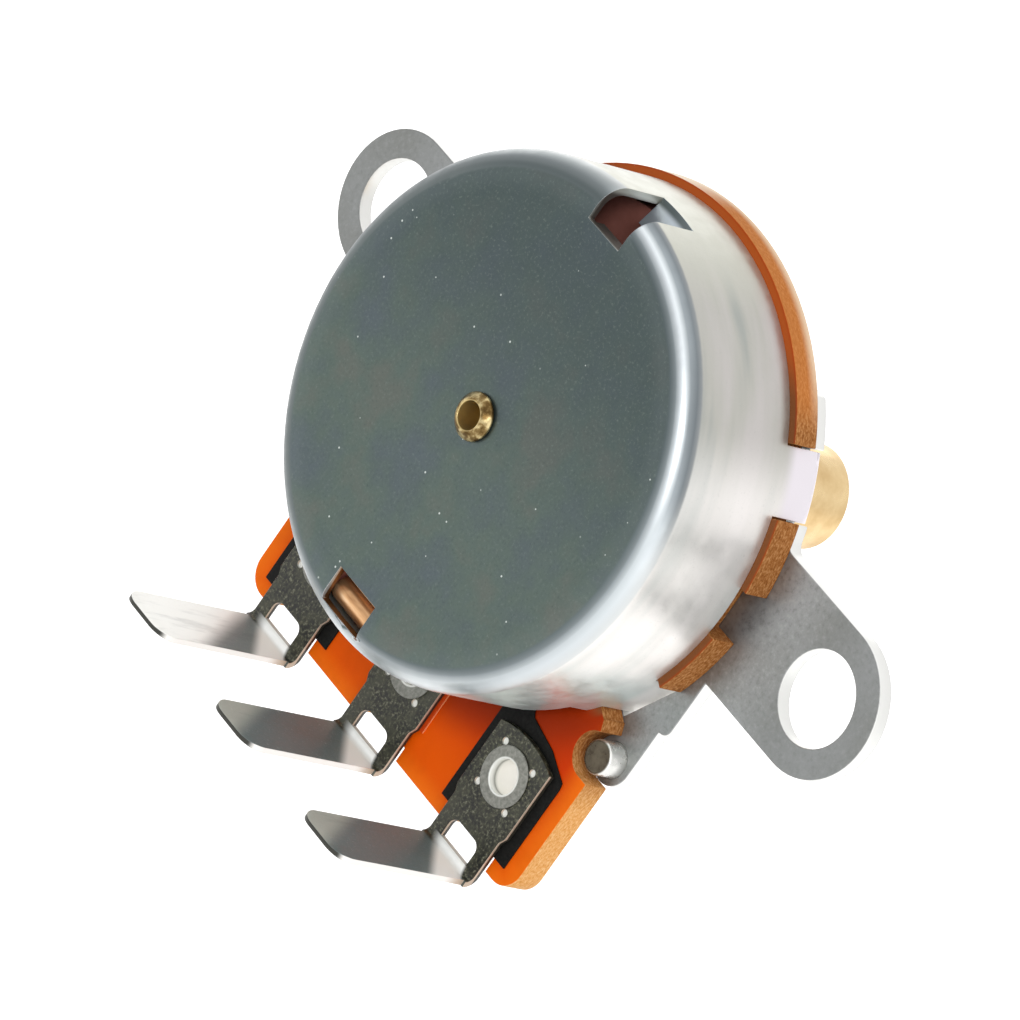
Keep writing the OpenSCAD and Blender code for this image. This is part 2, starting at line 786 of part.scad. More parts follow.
module wiper_spring() {
    color([0.62, 0.42, 0.25]) difference() {
        union() {
            slab(arm_front, disc_front) ring_outline(spring_ring_out, spring_ring_in);
            across(fold_w) fold_section();
            at_angle(wiper_angle) finger(track_r);
            for (a = collector_angles) at_angle(a) finger(collector_r);
        }
        for (a = rivet_angles) at_angle(a) slab(arm_front - over, disc_front + over)
            translate([0, rivet_pitch_r]) circle(rivet_r);
        slab(finger_front - over, finger_back + over) contact_spots() circle(rivet_r);
    }
}

// Places its children at the three contacts
module contact_spots() {
    rotate(wiper_angle) translate([track_r, 0]) children();
    for (a = collector_angles) rotate(a) translate([collector_r, 0]) children();
}

module wiper_contacts() {
    color([0.75, 0.74, 0.7]) {
        slab(contact_tip, finger_front) contact_spots() circle(rivet_head_r);
        slab(contact_tip, finger_back) contact_spots() circle(rivet_r);
    }
}

module wiper_rivets() {
    color([0.8, 0.65, 0.35]) for (a = rivet_angles) at_angle(a) translate([0, 0, rivet_pitch_r]) turned() {
        translate([0, arm_front - rivet_head_t]) square([rivet_head_r, rivet_head_t]);
        translate([0, arm_front - rivet_head_t])
            square([rivet_r, disc_back - arm_front + 2 * rivet_head_t]);
        translate([0, disc_back]) square([rivet_head_r, rivet_head_t]);
    }
}

module spring_washer() {
    color([0.55, 0.55, 0.52]) turned() polygon([
        [spring_washer_in_r, can_inside - axial_clear - spring_washer_t],
        [spring_washer_in_r, can_inside - axial_clear],
        [spring_washer_out_r, hub_back + spring_washer_t], [spring_washer_out_r, hub_back]
    ]);
}

can();
mounting_plate();
base_board();
resistive_track();
collector_track();
terminal_left();
terminal_middle();
terminal_right();
terminal_eyelets();
locating_pins();
bushing();
shaft();
retaining_ring();
front_washer();
thrust_washer();
rotor();
wiper_spring();
wiper_contacts();
wiper_rivets();
spring_washer();
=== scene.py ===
"""Looks of a rotary heater control: plated can and plate, phenolic board, tinned terminals.

Blender works in metres. Sizes here are written in millimetres and multiplied by MM.
"""

import json
import math

import bmesh
import bpy
from mathutils import Matrix, Vector


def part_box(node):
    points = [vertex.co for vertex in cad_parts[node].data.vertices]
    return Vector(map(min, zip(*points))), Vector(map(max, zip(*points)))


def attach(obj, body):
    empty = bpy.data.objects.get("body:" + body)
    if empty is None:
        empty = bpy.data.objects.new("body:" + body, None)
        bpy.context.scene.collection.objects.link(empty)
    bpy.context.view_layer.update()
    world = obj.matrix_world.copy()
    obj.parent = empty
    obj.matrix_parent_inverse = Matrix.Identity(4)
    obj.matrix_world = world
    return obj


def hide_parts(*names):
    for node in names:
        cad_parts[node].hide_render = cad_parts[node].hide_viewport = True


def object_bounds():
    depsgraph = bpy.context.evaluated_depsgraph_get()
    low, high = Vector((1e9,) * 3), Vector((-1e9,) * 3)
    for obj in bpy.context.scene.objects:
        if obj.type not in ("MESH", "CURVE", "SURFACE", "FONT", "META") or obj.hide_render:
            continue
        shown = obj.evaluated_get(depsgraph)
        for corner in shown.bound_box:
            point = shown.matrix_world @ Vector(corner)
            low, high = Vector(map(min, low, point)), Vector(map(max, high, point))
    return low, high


MM = 0.001

# Camera: direction of the view, roll, and the point in the middle of the picture. The lens
# and the sensor are in millimetres, and the nearest and farthest depth in metres
CAMERA_AZIMUTH = math.radians(-39.06)
CAMERA_ELEVATION = math.radians(19.24)
CAMERA_ROLL = math.radians(34.96)
CAMERA_DISTANCE = 454.15 * MM
CAMERA_AIM = Vector((0.70, 2.57, -4.46)) * MM
CAMERA_LENS = 368.5
CAMERA_SENSOR = 36
CAMERA_NEAR = 0.01
CAMERA_FAR = 20

# Light and floor
WHITE = (1, 1, 1, 1)
WORLD_FILL = 0.7
FLOOR_DROP = 14 * MM
FLOOR_RADIUS = 1.2
FLOOR_SEGMENTS = 128
FLOOR_COLOUR = (0.9, 0.9, 0.9, 1)
FLOOR_ROUGHNESS = 0.9
FLOOR_GLOW = 0.5

# Meshes: how close corners and how level faces are merged, and how sharp edges are rounded
WELD_DISTANCE = 0.0005 * MM
LEVEL_ANGLE = math.radians(0.4)
ROUNDED_ANGLE = math.radians(32)
ROUNDED_SEGMENTS = 2

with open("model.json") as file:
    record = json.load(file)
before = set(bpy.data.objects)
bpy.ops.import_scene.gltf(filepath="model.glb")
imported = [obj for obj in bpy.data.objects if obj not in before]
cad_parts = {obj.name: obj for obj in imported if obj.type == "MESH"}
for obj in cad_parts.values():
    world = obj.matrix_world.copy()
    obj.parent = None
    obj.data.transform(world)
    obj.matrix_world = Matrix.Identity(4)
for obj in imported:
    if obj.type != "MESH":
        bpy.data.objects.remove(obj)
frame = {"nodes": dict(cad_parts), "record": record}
cad_low, cad_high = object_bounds()

# Sizes of the part's source that the boxes of its nodes don't give
TERMINAL_THICKNESS = 0.3 * MM
WIRE_HOLE_RISE = 0.65 * MM
STAKE_SIDE = 1.12 * MM
STAKE_RADIUS = 0.17 * MM
BORE_RADIUS = 0.8 * MM
REAR_HOLE_RADIUS = 0.65 * MM

# Places that the colours follow
CAN_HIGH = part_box("can")[1]
CAN_RADIUS = CAN_HIGH.x
CAN_BACK = CAN_HIGH.y
BOARD_LOW, BOARD_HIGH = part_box("base_board")
BOARD_BACK = BOARD_HIGH.y
BOARD_RADIUS = (BOARD_HIGH.x - BOARD_LOW.x) / 2
LUG_LOW, LUG_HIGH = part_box("terminal_middle")
LUG_BACK = LUG_LOW.y + TERMINAL_THICKNESS
BLADE_TIP = LUG_HIGH.y
WIRE_HOLE_BOTTOM = LUG_LOW.z + WIRE_HOLE_RISE
EYELETS_LOW, EYELETS_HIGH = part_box("terminal_eyelets")
EYELET_Z = ((EYELETS_LOW + EYELETS_HIGH) / 2).z
FLANGE_DIAMETER = EYELETS_HIGH.z - EYELETS_LOW.z
TERMINAL_PITCH = (EYELETS_HIGH.x - EYELETS_LOW.x - FLANGE_DIAMETER) / 2


# ---------------------------------------------------------------- material kit


def srgb(r, g, b):
    """Linear colour from 0 to 255 sRGB values."""
    return tuple(
        (c / 12.92 if c <= 0.04045 else ((c + 0.055) / 1.055) ** 2.4)
        for c in (r / 255, g / 255, b / 255)
    ) + (1.0,)


class Finish:
    """Node tree of one material. Its methods add nodes and return their output sockets.

    The roughness given first holds where no pattern is linked in its place.
    """

    def __init__(self, name, roughness, metallic=0.0, **inputs):
        self.material = bpy.data.materials.new(name)
        self.material.use_nodes = True
        self.tree = self.material.node_tree
        self.shader = self.tree.nodes["Principled BSDF"]
        self.set("Roughness", roughness)
        self.set("Metallic", metallic)
        for key, value in inputs.items():
            self.set(key.replace("_", " "), value)

    def set(self, socket, value):
        """Sets or links one input of the shader."""
        self.put(self.shader.inputs[socket], value)

    def put(self, socket, value):
        """Links an output to a socket, or gives the socket a plain value."""
        if isinstance(value, bpy.types.NodeSocket):
            self.tree.links.new(value, socket)
        else:
            socket.default_value = value

    def add(self, kind, inputs=(), **settings):
        """Node of that kind, with its settings and with its inputs set or linked."""
        node = self.tree.nodes.new(kind)
        for key, value in settings.items():
            setattr(node, key, value)
        for key, value in dict(inputs).items():
            self.put(node.inputs[key], value)
        return node

    def position(self):
        """Place on the object, in metres, in the frame of the part."""
        return self.add("ShaderNodeTexCoord").outputs["Object"]

    def normal(self):
        """Direction of the surface in the frame of the part."""
        return self.add("ShaderNodeTexCoord").outputs["Normal"]

    def split(self, vector):
        """X, Y and Z of a vector."""
        return tuple(self.add("ShaderNodeSeparateXYZ", {0: vector}).outputs)

    def across_y(self):
        """1 on faces that look forwards or backwards, 0 on those that look sideways, up or down."""
        return self.maths("ABSOLUTE", self.split(self.normal())[1])

    def radius(self):
        """Distance from the axis of the shaft."""
        return self.length(self.stretch(self.position(), (1.0, 0.0, 1.0)))

    def stretch(self, vector, factors):
        """Scales a position, so that a pattern is long where its factor is small."""
        return self.add(
            "ShaderNodeVectorMath", {0: vector, 1: factors}, operation="MULTIPLY"
        ).outputs[0]

    def combine(self, x, y, z):
        """Vector from its X, Y and Z."""
        return self.add("ShaderNodeCombineXYZ", {0: x, 1: y, 2: z}).outputs[0]

    def length(self, vector):
        """Length of a vector."""
        return self.add("ShaderNodeVectorMath", {0: vector}, operation="LENGTH").outputs["Value"]

    def noise(self, size, detail=3.0, rough=0.5, at=None):
        """Cloudy value from 0 to 1 with features of that size in millimetres."""
        inputs = {
            "Vector": at or self.position(),
            "Scale": 1 / (size * MM),
            "Detail": detail,
            "Roughness": rough,
        }
        return self.add("ShaderNodeTexNoise", inputs).outputs["Fac"]

    def cells(self, size):
        """Distance to the nearest scattered point, where 1 is that size in millimetres."""
        inputs = {"Vector": self.position(), "Scale": 1 / (size * MM)}
        return self.add("ShaderNodeTexVoronoi", inputs).outputs["Distance"]

    def maths(self, operation, a, b=0.0):
        """Result of one operation on one or two numbers."""
        return self.add("ShaderNodeMath", {0: a, 1: b}, operation=operation).outputs[0]

    def both(self, first, *others):
        """Product of shares: 1 where all of them are 1."""
        for other in others:
            first = self.maths("MULTIPLY", first, other)
        return first

    def step(self, value, low, high, start=0.0, end=1.0):
        """Goes smoothly from start to end as value goes from low to high."""
        inputs = {
            "Value": value,
            "From Min": low,
            "From Max": high,
            "To Min": start,
            "To Max": end,
        }
        return self.add(
            "ShaderNodeMapRange", inputs, interpolation_type="SMOOTHSTEP"
        ).outputs[0]

    def ramp(self, value, *stops):
        """Colour from pairs of place and colour."""
        node = self.add("ShaderNodeValToRGB", {"Fac": value})
        elements = node.color_ramp.elements
        while len(elements) < len(stops):
            elements.new(0.5)
        for element, (place, colour) in zip(elements, stops):
            element.position = place
            element.color = colour
        return node.outputs["Color"]

    def mix(self, share, a, b):
        """Colour a where share is 0 and colour b where it is 1."""
        # The Mix node has sockets for numbers and vectors before those for colours
        return self.add("ShaderNodeMix", data_type="RGBA", inputs={0: share, 6: a, 7: b}).outputs[2]

    def bump(self, height, depth):
        """Relief of that depth in millimetres."""
        inputs = {"Height": height, "Distance": depth * MM, "Strength": 1.0}
        if self.shader.inputs["Normal"].is_linked:
            inputs["Normal"] = self.shader.inputs["Normal"].links[0].from_socket
        self.set("Normal", self.add("ShaderNodeBump", inputs).outputs[0])


# ---------------------------------------------------------------- materials


def zinc_can():
    """Drawn and zinc plated can: green grey passivated back painted dark as a reflection, painted
    highlights and reflections on the corner, and a streaky wall painted paler in places as light.
    """
    f = Finish("zinc_can", 0.35, metallic=0.75)
    place = f.position()
    x, y, z = f.split(place)
    facing_back = f.split(f.normal())[1]
    radius = f.radius()

    # Back: green grey, painted dark as a reflection of dark surroundings, with bluer and warmer
    # clouds, darker upwards, and a fine grain
    back = f.ramp(
        f.noise(3.5, 4.0, 0.55),
        (0.34, srgb(80, 90, 94)),
        (0.46, srgb(80, 92, 90)),
        (0.54, srgb(82, 95, 89)),
        (0.66, srgb(89, 95, 89)),
    )
    back = f.mix(f.step(z, -4.0 * MM, 9.0 * MM, 0.0, 0.7), back, srgb(58, 69, 71))
    grain = f.noise(0.16, 3.0, 0.7)
    back = f.mix(f.step(grain, 0.52, 0.80, 0.0, 0.5), back, srgb(112, 122, 116))
    back = f.mix(f.step(grain, 0.48, 0.22, 0.0, 0.5), back, srgb(58, 70, 70))
    # Painted faint highlight towards the edge of the back
    rim = f.step(radius, CAN_RADIUS - 2.2 * MM, CAN_RADIUS - 1.1 * MM, 0.0, 0.08)
    back = f.mix(rim, back, srgb(140, 148, 148))
    # Pale specks in loose groups
    specks = f.step(f.cells(0.8), 0.075, 0.045, 0.0, 0.8)
    grouped = f.step(f.noise(2.6, 2.0, 0.5), 0.50, 0.56)
    back = f.mix(f.both(specks, grouped), back, srgb(205, 212, 208))

    # Corner, from the wall to the back, in painted reflections: grey on the side of +X and pale at
    # the top. On the side of -X it has a narrow painted highlight above and a wide one below, and
    # it is palest at the bottom
    grey_corner = f.ramp(
        facing_back,
        (0.10, srgb(136, 139, 140)),
        (0.34, srgb(96, 102, 105)),
        (0.60, srgb(98, 105, 108)),
        (0.85, srgb(106, 113, 114)),
        (0.98, srgb(94, 102, 102)),
    )
    pale_corner = f.ramp(
        facing_back,
        (0.10, srgb(206, 208, 206)),
        (0.34, srgb(188, 192, 192)),
        (0.57, srgb(156, 162, 163)),
        (0.77, srgb(124, 131, 133)),
        (0.95, srgb(88, 97, 98)),
    )
    narrow_corner = f.ramp(
        facing_back,
        (0.10, srgb(156, 159, 160)),
        (0.34, srgb(118, 125, 129)),
        (0.57, srgb(138, 145, 149)),
        (0.74, srgb(212, 218, 221)),
        (0.80, srgb(208, 214, 218)),
        (0.91, srgb(130, 138, 141)),
        (0.98, srgb(84, 94, 96)),
    )
    wide_corner = f.ramp(
        facing_back,
        (0.10, srgb(212, 214, 213)),
        (0.34, srgb(204, 208, 209)),
        (0.57, srgb(202, 208, 211)),
        (0.77, srgb(186, 193, 196)),
        (0.91, srgb(120, 128, 131)),
        (0.98, srgb(92, 102, 103)),
    )
    low_corner = f.ramp(
        facing_back,
        (0.10, srgb(200, 203, 203)),
        (0.34, srgb(208, 212, 213)),
        (0.57, srgb(226, 231, 233)),
        (0.77, srgb(206, 212, 214)),
        (0.91, srgb(150, 157, 160)),
        (0.98, srgb(92, 102, 103)),
    )
    at_top = f.step(z, 6.0 * MM, 9.5 * MM)
    above = f.mix(at_top, grey_corner, pale_corner)
    above = f.mix(f.step(x, 0.5 * MM, -1.5 * MM), above, narrow_corner)
    below = f.mix(f.step(x, 3.0 * MM, -4.0 * MM), grey_corner, wide_corner)
    at_bottom = f.both(f.step(z, -7.5 * MM, -10.5 * MM), f.step(x, 8.5 * MM, 0.0))
    below = f.mix(at_bottom, below, low_corner)
    corner = f.mix(f.step(z, 5.0 * MM, 1.0 * MM), above, below)

    # Wall: cream and lilac streaks around the can, and a painted pale reflection that makes it
    # nearly white below except at +X
    drawn = f.noise(1.6, 3.0, 0.5, f.stretch(place, (0.14, 1.0, 0.14)))
    upper = f.ramp(
        drawn,
        (0.35, srgb(169, 172, 167)),
        (0.50, srgb(187, 186, 179)),
        (0.68, srgb(198, 194, 191)),
    )
    lower = f.ramp(
        drawn,
        (0.30, srgb(222, 222, 218)),
        (0.50, srgb(237, 234, 230)),
        (0.70, srgb(244, 240, 237)),
    )
    whiter = f.both(f.step(z, 7.5 * MM, 4.5 * MM), f.step(x, 8.0 * MM, 3.0 * MM))
    wall = f.mix(whiter, upper, lower)
    wall = f.mix(f.step(z, -4.0 * MM, -6.5 * MM, 0.0, 0.6), wall, srgb(226, 244, 242))
    wall = f.mix(f.step(z, 10.5 * MM, 11.8 * MM), wall, srgb(201, 201, 190))
    wall = f.mix(f.step(grain, 0.45, 0.20, 0.0, 0.18), wall, srgb(160, 162, 160))
    # Tabs beside the board, painted pale as a reflection: faintly lilac above and white below
    tabs = f.mix(f.step(z, 2.0 * MM, -2.0 * MM), srgb(236, 230, 236), srgb(255, 253, 250))
    wall = f.mix(f.step(y, BOARD_BACK, BOARD_BACK - 0.8 * MM), wall, tabs)

    # Bent tongue, painted bright as a highlight
    inside = f.step(radius, CAN_RADIUS - 0.2 * MM, CAN_RADIUS - 0.5 * MM)
    sunk = f.step(y, CAN_BACK - 1.8 * MM, CAN_BACK - 2.2 * MM)
    tongue = f.both(inside, sunk, f.step(facing_back, 0.1, 0.3))
    tongue_colour = srgb(205, 215, 225)
    wall = f.mix(tongue, wall, tongue_colour)
    corner = f.mix(tongue, corner, tongue_colour)

    # Cut edges of the windows: a painted brown reflection of the spring below, and painted shade
    # next to the rotor above
    cut = f.both(f.step(facing_back, 0.3, 0.1), inside)
    outer = f.step(y, CAN_BACK - 0.7 * MM, CAN_BACK - 0.6 * MM)
    spring_reflection = f.both(f.step(z, -8.8 * MM, -9.2 * MM), cut, outer)
    wall = f.mix(spring_reflection, wall, srgb(128, 90, 55))
    inner = f.step(y, CAN_BACK - 0.05 * MM, CAN_BACK - 0.2 * MM)
    rotor_window_shade = f.both(f.step(z, 6.0 * MM, 6.5 * MM), cut, inner)
    wall = f.mix(rotor_window_shade, wall, srgb(112, 104, 98))

    colour = f.mix(f.step(facing_back, 0.05, 0.18), wall, corner)
    f.set("Base Color", f.mix(f.step(facing_back, 0.975, 0.999), colour, back))
    f.set("Roughness", f.step(f.noise(0.8, 3.0, 0.6), 0.3, 0.7, 0.30, 0.42))
    f.bump(f.noise(3.0, 2.0, 0.5), 0.01)
    f.bump(f.noise(0.12, 2.0, 0.5), 0.003)
    return f.material


def zinc_plate():
    """Stamped and zinc plated plate, with a fine grain."""
    f = Finish("zinc_plate", 0.42, metallic=0.75)
    grain = f.noise(0.28, 4.0, 0.75)
    colour = f.ramp(
        f.noise(5.0, 3.0, 0.5),
        (0.30, srgb(130, 131, 127)),
        (0.50, srgb(143, 145, 144)),
        (0.70, srgb(154, 156, 157)),
    )
    colour = f.mix(f.step(grain, 0.50, 0.68, 0.0, 0.4), colour, srgb(176, 178, 178))
    colour = f.mix(f.step(grain, 0.50, 0.32, 0.0, 0.4), colour, srgb(104, 106, 105))
    # Darker ears, and cut edges painted pale as highlights
    aside = f.maths("ABSOLUTE", f.split(f.position())[0])
    colour = f.mix(f.step(aside, 14.0 * MM, 17.0 * MM, 0.0, 0.45), colour, srgb(110, 112, 110))
    cut = f.step(f.across_y(), 0.8, 0.3)
    f.set("Base Color", f.mix(cut, colour, srgb(234, 234, 231)))
    f.set("Roughness", f.step(grain, 0.2, 0.8, 0.36, 0.50))
    f.bump(f.noise(2.5, 2.0, 0.5), 0.01)
    f.bump(grain, 0.005)
    return f.material


def phenolic_board():
    """Orange paper laminate: a smooth resin face and a layered, speckled cut edge."""
    f = Finish("phenolic_board", 0.4, Specular_IOR_Level=0.06)
    place = f.position()
    x, y, z = f.split(place)
    flat = f.across_y()
    radius = f.radius()

    # Face: red brown near the can as a painted shadow of the can, orange outwards and lighter at
    # its edges
    tail = f.step(z, BOARD_LOW.z + 5.5 * MM, BOARD_LOW.z + 1.5 * MM)
    face = f.mix(tail, srgb(206, 56, 0), srgb(232, 88, 2))
    aside = f.maths("ABSOLUTE", x)
    edge_x = f.step(aside, BOARD_RADIUS - 2.6 * MM, BOARD_RADIUS - 1.1 * MM)
    edge_z = f.step(z, BOARD_LOW.z + 1.2 * MM, BOARD_LOW.z)
    face = f.mix(f.maths("MAXIMUM", edge_x, edge_z), face, srgb(240, 110, 14))
    shade = f.step(radius, CAN_RADIUS + 2.6 * MM, CAN_RADIUS + 0.4 * MM, 0.0, 0.75)
    face = f.mix(shade, face, srgb(132, 38, 4))
    cloud = f.noise(2.5, 3.0, 0.5)
    face = f.mix(f.step(cloud, 0.45, 0.75, 0.0, 0.25), face, srgb(168, 48, 0))
    # Narrow rim around the can: painted brown shade from the can, and more orange at the top
    inside = f.step(radius, BOARD_RADIUS + 0.15 * MM, BOARD_RADIUS - 0.1 * MM)
    around_can = f.both(inside, f.step(z, -8.2 * MM, -7.2 * MM))
    at_top = f.step(z, 8.5 * MM, 10.5 * MM)
    rim = f.mix(at_top, srgb(120, 72, 40), srgb(172, 82, 32))
    face = f.mix(around_can, face, rim)

    # Cut edge: tan fibres, darker beside the can
    fibre = f.noise(0.18, 3.0, 0.65, f.stretch(place, (1.0, 1.8, 1.0)))
    light = f.ramp(
        fibre,
        (0.32, srgb(214, 146, 74)),
        (0.48, srgb(232, 168, 98)),
        (0.66, srgb(244, 196, 138)),
    )
    dark = f.ramp(
        fibre,
        (0.32, srgb(124, 72, 32)),
        (0.48, srgb(156, 100, 52)),
        (0.68, srgb(190, 138, 88)),
    )
    edge = f.mix(f.step(z, -9.0 * MM, -12.0 * MM), dark, light)
    # Rounded top: orange behind, and painted pale as a highlight, to cream, at the front and on the
    # side of +X
    edge = f.mix(f.step(z, 7.8 * MM, 9.2 * MM, 0.0, 0.6), edge, srgb(206, 126, 62))
    upward = f.step(z, 7.8 * MM, 10.5 * MM, 0.0, 0.65)
    forward = f.step(y, BOARD_BACK - 0.7 * MM, BOARD_LOW.y)
    edge = f.mix(f.both(upward, forward), edge, srgb(250, 236, 208))
    edge = f.mix(f.both(at_top, f.step(x, 0.5 * MM, 5.0 * MM)), edge, srgb(250, 236, 214))
    f.set("Base Color", f.mix(f.step(flat, 0.5, 0.9), edge, face))
    f.set("Roughness", f.step(flat, 0.5, 0.9, 0.65, 0.42))
    f.bump(f.noise(0.5, 3.0, 0.6), 0.004)
    f.bump(fibre, 0.012)
    return f.material


# How far the borders of the painted gleam and of the painted pale light slant across the width of a
# blade
GLEAM_SLANT = 1.4
LIGHT_SLANT = 0.85


def tinned_brass(name, blade_root, blade_tip, gleam):
    """Dull, mottled tin on the lug, bright cut edges that are partly painted highlights, and a
    painted gleam on the blade beyond a place.
    """
    f = Finish(name, 0.42, metallic=0.2)
    place = f.position()
    x, y, z = f.split(place)
    facing_x, facing_back, _ = f.split(f.normal())
    mottle = f.noise(0.15, 3.0, 0.7)
    lug = f.ramp(
        mottle,
        (0.40, srgb(12, 12, 8)),
        (0.49, srgb(38, 38, 27)),
        (0.57, srgb(64, 64, 49)),
        (0.72, srgb(134, 133, 114)),
    )
    patch = f.step(f.noise(0.9, 3.0, 0.6), 0.42, 0.62, 0.0, 0.45)
    lug = f.mix(patch, lug, srgb(70, 70, 53))
    # Bright bottoms of the four stake marks around each eyelet
    from_eyelet_x = f.maths("PINGPONG", x, TERMINAL_PITCH / 2)
    from_eyelet_z = f.maths("ABSOLUTE", f.maths("SUBTRACT", z, EYELET_Z))
    from_stake_x = f.maths("SUBTRACT", from_eyelet_x, STAKE_SIDE)
    from_stake_z = f.maths("SUBTRACT", from_eyelet_z, STAKE_SIDE)
    from_stake = f.length(f.combine(from_stake_x, 0.0, from_stake_z))
    stake = f.step(from_stake, STAKE_RADIUS + 0.03 * MM, STAKE_RADIUS - 0.03 * MM)
    lug = f.mix(stake, lug, srgb(236, 236, 230))

    # The painted gleam starts sooner on the side of +X, and the painted pale light from the wire
    # hole ends sooner
    column = f.maths("ROUND", f.maths("DIVIDE", x, TERMINAL_PITCH))
    aside = f.maths("SUBTRACT", x, f.maths("MULTIPLY", column, TERMINAL_PITCH))
    along_gleam = f.maths("ADD", y, f.maths("MULTIPLY", aside, GLEAM_SLANT))
    along_light = f.maths("ADD", y, f.maths("MULTIPLY", aside, LIGHT_SLANT))
    gleaming = f.step(along_gleam, gleam - 0.9 * MM, gleam + 0.9 * MM)
    blade = f.mix(gleaming, blade_root, blade_tip)
    streak = f.noise(0.5, 3.0, 0.6, f.stretch(place, (1.0, 0.15, 1.0)))
    blade = f.mix(f.step(streak, 0.50, 0.25, 0.0, 0.25), blade, srgb(100, 100, 96))
    blade = f.mix(f.step(mottle, 0.55, 0.80, 0.0, 0.25), blade, srgb(226, 226, 220))

    colour = f.mix(f.step(y, LUG_BACK + 0.2 * MM, LUG_BACK + 0.5 * MM), lug, blade)
    # Painted pale light from the wire hole, on the blade below it
    light_end = f.step(along_light, LUG_BACK + 1.35 * MM, LUG_BACK + 0.55 * MM)
    light_start = f.step(along_light, LUG_BACK - 1.0 * MM, LUG_BACK - 0.8 * MM)
    below_hole = f.step(z, WIRE_HOLE_BOTTOM + 0.03 * MM, WIRE_HOLE_BOTTOM - 0.03 * MM)
    colour = f.mix(f.both(light_end, light_start, below_hole), colour, srgb(250, 250, 247))
    # Cut edges: a thin bare line along the back of the lug, and along the blade bare and painted
    # nearly white as a highlight
    line = f.step(y, LUG_BACK - 0.14 * MM, LUG_BACK - 0.09 * MM)
    bare = f.mix(line, srgb(52, 48, 40), srgb(194, 174, 154))
    bare = f.mix(f.step(y, LUG_BACK + 0.5 * MM, LUG_BACK + 1.5 * MM), bare, srgb(248, 245, 240))
    colour = f.mix(f.step(f.maths("ABSOLUTE", facing_x), 0.5, 0.8), colour, bare)
    # Dark end of the blade
    near_tip = f.step(y, BLADE_TIP - 1.2 * MM, BLADE_TIP - 0.8 * MM)
    end = f.both(f.step(facing_back, 0.5, 0.8), near_tip)
    f.set("Base Color", f.mix(end, colour, srgb(46, 46, 38)))
    f.set("Roughness", f.step(mottle, 0.3, 0.7, 0.36, 0.52))
    f.bump(mottle, 0.008)
    return f.material


def eyelet_tin():
    """Matte rolled flange and a bore painted bright as light, with a band of painted dark
    reflection.
    """
    f = Finish("eyelet_tin", 0.5, metallic=0.2)
    x, y, z = f.split(f.position())
    grain = f.noise(0.16, 3.0, 0.65)
    flange = f.ramp(grain, (0.35, srgb(114, 114, 107)), (0.65, srgb(148, 148, 140)))
    from_axis_x = f.maths("PINGPONG", x, TERMINAL_PITCH / 2)
    radius = f.length(f.combine(from_axis_x, 0.0, f.maths("SUBTRACT", z, EYELET_Z)))
    # Bore, from its rear end inwards: painted bright light with a band of painted dark reflection
    bore = f.ramp(
        f.step(y, EYELETS_HIGH.y, EYELETS_HIGH.y - 1.0 * MM),
        (0.04, srgb(240, 240, 235)),
        (0.14, srgb(214, 214, 208)),
        (0.26, srgb(150, 150, 144)),
        (0.42, srgb(232, 231, 224)),
        (0.60, srgb(254, 252, 246)),
    )
    in_bore = f.step(radius, BORE_RADIUS + 0.12 * MM, BORE_RADIUS + 0.04 * MM)
    f.set("Base Color", f.mix(in_bore, flange, bore))
    f.set("Roughness", f.step(grain, 0.3, 0.7, 0.40, 0.55))
    f.bump(grain, 0.006)
    return f.material


def pin_steel():
    """Staked steel pin with a dark, burnished end and sides painted bright as a highlight."""
    f = Finish("pin_steel", 0.32, metallic=0.8)
    cloud = f.noise(0.5, 3.0, 0.6)
    end = f.ramp(cloud, (0.35, srgb(62, 54, 42)), (0.65, srgb(92, 84, 70)))
    f.set("Base Color", f.mix(f.step(f.across_y(), 0.6, 0.97), srgb(226, 226, 222), end))
    f.set("Roughness", f.step(cloud, 0.3, 0.7, 0.24, 0.38))
    f.bump(cloud, 0.006)
    return f.material


def plain_metal(name, dark, light, roughness, grain=0.3, depth=0.006):
    """Metal that varies between two colours, with a fine relief."""
    f = Finish(name, roughness, metallic=0.9)
    cloud = f.noise(1.8, 4.0, 0.6)
    f.set("Base Color", f.ramp(cloud, (0.35, dark), (0.65, light)))
    f.set("Roughness", f.step(cloud, 0.3, 0.7, roughness + 0.08, roughness - 0.04))
    f.bump(f.noise(grain, 3.0, 0.6), depth)
    return f.material


BRASS_DARK = srgb(214, 182, 130)
BRASS_LIGHT = srgb(238, 210, 160)


def turned_brass():
    """Bright turned brass, mottled on the flared rear end and duller in its hole."""
    f = Finish("turned_brass", 0.3, metallic=0.9)
    y = f.split(f.position())[1]
    cloud = f.noise(1.8, 4.0, 0.6)
    turned = f.ramp(cloud, (0.35, BRASS_DARK), (0.65, BRASS_LIGHT))
    flared = f.ramp(
        f.noise(0.5, 3.0, 0.6),
        (0.38, srgb(84, 64, 32)),
        (0.50, srgb(130, 108, 68)),
        (0.62, srgb(196, 178, 132)),
    )
    colour = f.mix(f.step(y, CAN_BACK - 0.1 * MM, CAN_BACK), turned, flared)
    near_axis = f.step(f.radius(), REAR_HOLE_RADIUS + 0.08 * MM, REAR_HOLE_RADIUS)
    rear_half = f.step(y, 0.0, 1.0 * MM)
    f.set("Base Color", f.mix(f.both(near_axis, rear_half), colour, srgb(190, 170, 120)))
    f.set("Roughness", f.step(cloud, 0.3, 0.7, 0.38, 0.26))
    f.bump(f.noise(0.2, 3.0, 0.6), 0.003)
    return f.material


def phosphor_bronze():
    """Copper coloured spring strip with brown streaks along it."""
    f = Finish("phosphor_bronze", 0.32, metallic=0.8)
    streak = f.noise(0.4, 3.0, 0.6, f.stretch(f.position(), (0.15, 1.0, 1.0)))
    colour = f.ramp(
        streak,
        (0.30, srgb(166, 116, 74)),
        (0.50, srgb(214, 168, 122)),
        (0.70, srgb(232, 196, 156)),
    )
    f.set("Base Color", colour)
    f.bump(streak, 0.005)
    return f.material


